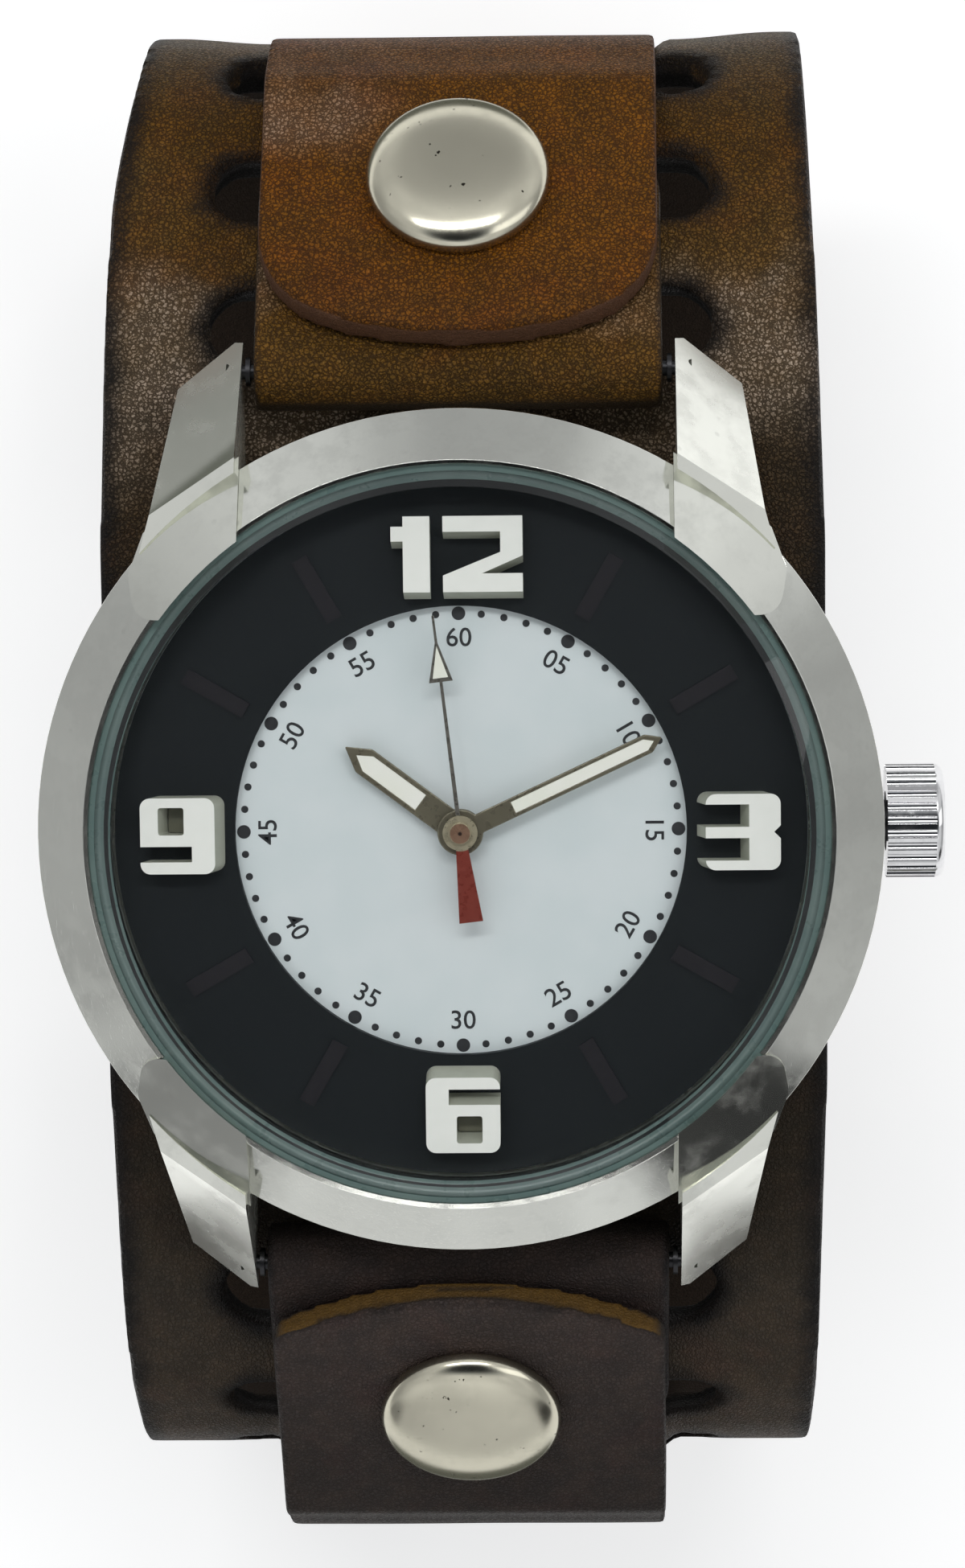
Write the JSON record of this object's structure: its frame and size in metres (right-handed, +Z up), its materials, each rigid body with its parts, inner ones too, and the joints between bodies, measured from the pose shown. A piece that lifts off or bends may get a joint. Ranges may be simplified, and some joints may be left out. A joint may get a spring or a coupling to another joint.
{
  "type": "cuff watch",
  "caption": "Round wristwatch with a black hour ring and white dial on a wide slotted leather cuff, held by snap tabs and a buckled under-strap.",
  "frame": {"origin": "on the surface it stands on, at the flat outer face of the fixed keeper, directly under the centre of the dial", "axes": "+X points to 3 o'clock, along the crown; +Y to 12 o'clock; +Z up out of the dial"},
  "size_m": [0.0494, 0.0892, 0.0552],
  "materials": {
    "case_chrome": "polished",
    "bezel_chrome": "polished",
    "crystal_glass": "clear",
    "gasket_teal": "translucent grey-green",
    "back_steel": "brushed",
    "rubber_black": "matt",
    "dial_white": "matt off-white",
    "chapter_black": "matt",
    "numeral_white": "satin white",
    "movement_plastic": "moulded",
    "bridge_steel": "plain",
    "stator_iron": "plain",
    "coil_copper": "enamelled copper",
    "battery_steel": "satin",
    "board_green": "solder mask",
    "hand_metal": "bronze-grey satin",
    "lume_cream": "matt cream",
    "second_metal": "bronze-red",
    "wheel_brass": "plain",
    "wheel_plastic": "moulded",
    "crown_chrome": "polished",
    "bar_steel": "plain",
    "cuff_leather": "antiqued brown, burnished",
    "loop_leather_12": "antiqued ochre brown",
    "loop_leather_6": "dark brown",
    "strap_leather_12": "antiqued ochre brown",
    "strap_leather_6": "dark brown",
    "keeper_leather": "dark brown",
    "snap_nickel": "polished nickel",
    "snap_steel": "plain",
    "buckle_nickel": "polished nickel",
    "buckle_steel": "plain"
  },
  "bodies": {
    "watch": {"case_body": "case_chrome", "bezel_ring": "bezel_chrome", "crystal": "crystal_glass", "crystal_gasket": "gasket_teal", "case_back": "back_steel", "back_gasket": "rubber_black", "dial_plate": "dial_white", "chapter_ring": "chapter_black", "hour_numerals": "numeral_white", "spacer_ring": "movement_plastic", "main_plate": "movement_plastic", "train_bridge": "bridge_steel", "bridge_screws": "bridge_steel", "stator": "stator_iron", "coil": "coil_copper", "battery": "battery_steel", "battery_clamp": "battery_steel", "circuit_board": "board_green", "quartz_can": "battery_steel", "crown_tube": "bridge_steel", "bar_tube_12": "bar_steel", "bar_tube_6": "bar_steel", "cuff": "cuff_leather", "bar_loop_12": "loop_leather_12", "bar_loop_6": "loop_leather_6", "buckle_strap": "strap_leather_12", "hole_strap": "strap_leather_6", "snap_cap_12": "snap_nickel", "snap_cap_6": "snap_nickel", "snap_socket_12": "snap_steel", "snap_socket_6": "snap_steel", "snap_stud_12": "snap_steel", "snap_stud_6": "snap_steel", "fixed_keeper": "keeper_leather", "buckle_bar": "buckle_steel"},
    "second_hand": {"second_hand": "second_metal", "fourth_wheel": "wheel_plastic"},
    "minute_hand": {"minute_hand": "hand_metal", "minute_lume": "lume_cream", "centre_wheel": "wheel_brass"},
    "hour_hand": {"hour_hand": "hand_metal", "hour_lume": "lume_cream", "hour_wheel": "wheel_brass"},
    "minute_wheel": {"minute_wheel": "wheel_plastic"},
    "third_wheel": {"third_wheel": "wheel_plastic"},
    "fifth_wheel": {"fifth_wheel": "wheel_plastic"},
    "rotor": {"rotor": "stator_iron"},
    "setting_lever": {"setting_lever": "bridge_steel"},
    "crown": {"crown": "crown_chrome", "stem": "bridge_steel", "crown_oring": "rubber_black"},
    "buckle_frame": {"buckle_frame": "buckle_nickel"},
    "buckle_tongue": {"buckle_tongue": "buckle_nickel"},
    "free_keeper": {"free_keeper": "keeper_leather"},
    "pin_12_right": {"bar_pin_12_right": "bar_steel"},
    "pin_12_left": {"bar_pin_12_left": "bar_steel"},
    "pin_6_right": {"bar_pin_6_right": "bar_steel"},
    "pin_6_left": {"bar_pin_6_left": "bar_steel"}
  },
  "joints": [
    {"name": "second_spin", "type": "hinge", "parent": "watch", "child": "second_hand", "pos_m": [0, 0, 0.05055], "axis": [0, 0, -1], "continuous": true},
    {"name": "minute_spin", "type": "hinge", "parent": "watch", "child": "minute_hand", "pos_m": [0, 0, 0.05055], "axis": [0, 0, -1], "continuous": true},
    {"name": "hour_spin", "type": "hinge", "parent": "watch", "child": "hour_hand", "pos_m": [0, 0, 0.05055], "axis": [0, 0, -1], "continuous": true},
    {"name": "minute_wheel_spin", "type": "hinge", "parent": "watch", "child": "minute_wheel", "pos_m": [0.00132, -0.00229, 0.05055], "axis": [0, 0, -1], "continuous": true},
    {"name": "third_wheel_spin", "type": "hinge", "parent": "watch", "child": "third_wheel", "pos_m": [-0.00406, 0.00148, 0.05055], "axis": [0, 0, -1], "continuous": true},
    {"name": "fifth_wheel_spin", "type": "hinge", "parent": "watch", "child": "fifth_wheel", "pos_m": [0.00388, 0.00141, 0.05055], "axis": [0, 0, -1], "continuous": true},
    {"name": "rotor_spin", "type": "hinge", "parent": "watch", "child": "rotor", "pos_m": [0.00645, 0.00357, 0.05055], "axis": [0, 0, -1], "continuous": true},
    {"name": "crown_pull", "type": "slide", "parent": "watch", "child": "setting_lever", "axis": [1, 0, 0], "range_m": [0, 0.001]},
    {"name": "crown_turn", "type": "hinge", "parent": "setting_lever", "child": "crown", "pos_m": [0.0245, 0, 0.04815], "axis": [1, 0, 0], "continuous": true},
    {"name": "buckle_swing", "type": "hinge", "parent": "watch", "child": "buckle_frame", "pos_m": [0, -0.011, 0.0059], "axis": [1, 0, 0], "range_deg": [0, 5]},
    {"name": "tongue_swing", "type": "hinge", "parent": "buckle_frame", "child": "buckle_tongue", "pos_m": [0, -0.011, 0.0059], "axis": [1, 0, 0], "range_deg": [0, 4]},
    {"name": "keeper_slide", "type": "slide", "parent": "watch", "child": "free_keeper", "axis": [0, 1, 0], "range_m": [-0.0065, 0.0022]},
    {"name": "pin_12_right_press", "type": "slide", "parent": "watch", "child": "pin_12_right", "axis": [-1, 0, 0], "range_m": [0, 0.0012], "stiffness_N_per_m": 60, "springref_m": -0.0012},
    {"name": "pin_12_left_press", "type": "slide", "parent": "watch", "child": "pin_12_left", "axis": [1, 0, 0], "range_m": [0, 0.0012], "stiffness_N_per_m": 60, "springref_m": -0.0012},
    {"name": "pin_6_right_press", "type": "slide", "parent": "watch", "child": "pin_6_right", "axis": [-1, 0, 0], "range_m": [0, 0.0012], "stiffness_N_per_m": 60, "springref_m": -0.0012},
    {"name": "pin_6_left_press", "type": "slide", "parent": "watch", "child": "pin_6_left", "axis": [1, 0, 0], "range_m": [0, 0.0012], "stiffness_N_per_m": 60, "springref_m": -0.0012}
  ],
  "couplings": [
    {"joint": "minute_spin", "follows": "second_spin", "ratio": 0.016667},
    {"joint": "hour_spin", "follows": "second_spin", "ratio": 0.0013889},
    {"joint": "minute_wheel_spin", "follows": "second_spin", "ratio": -0.0055556},
    {"joint": "third_wheel_spin", "follows": "second_spin", "ratio": -0.125},
    {"joint": "fifth_wheel_spin", "follows": "second_spin", "ratio": -5},
    {"joint": "rotor_spin", "follows": "second_spin", "ratio": 30}
  ]
}
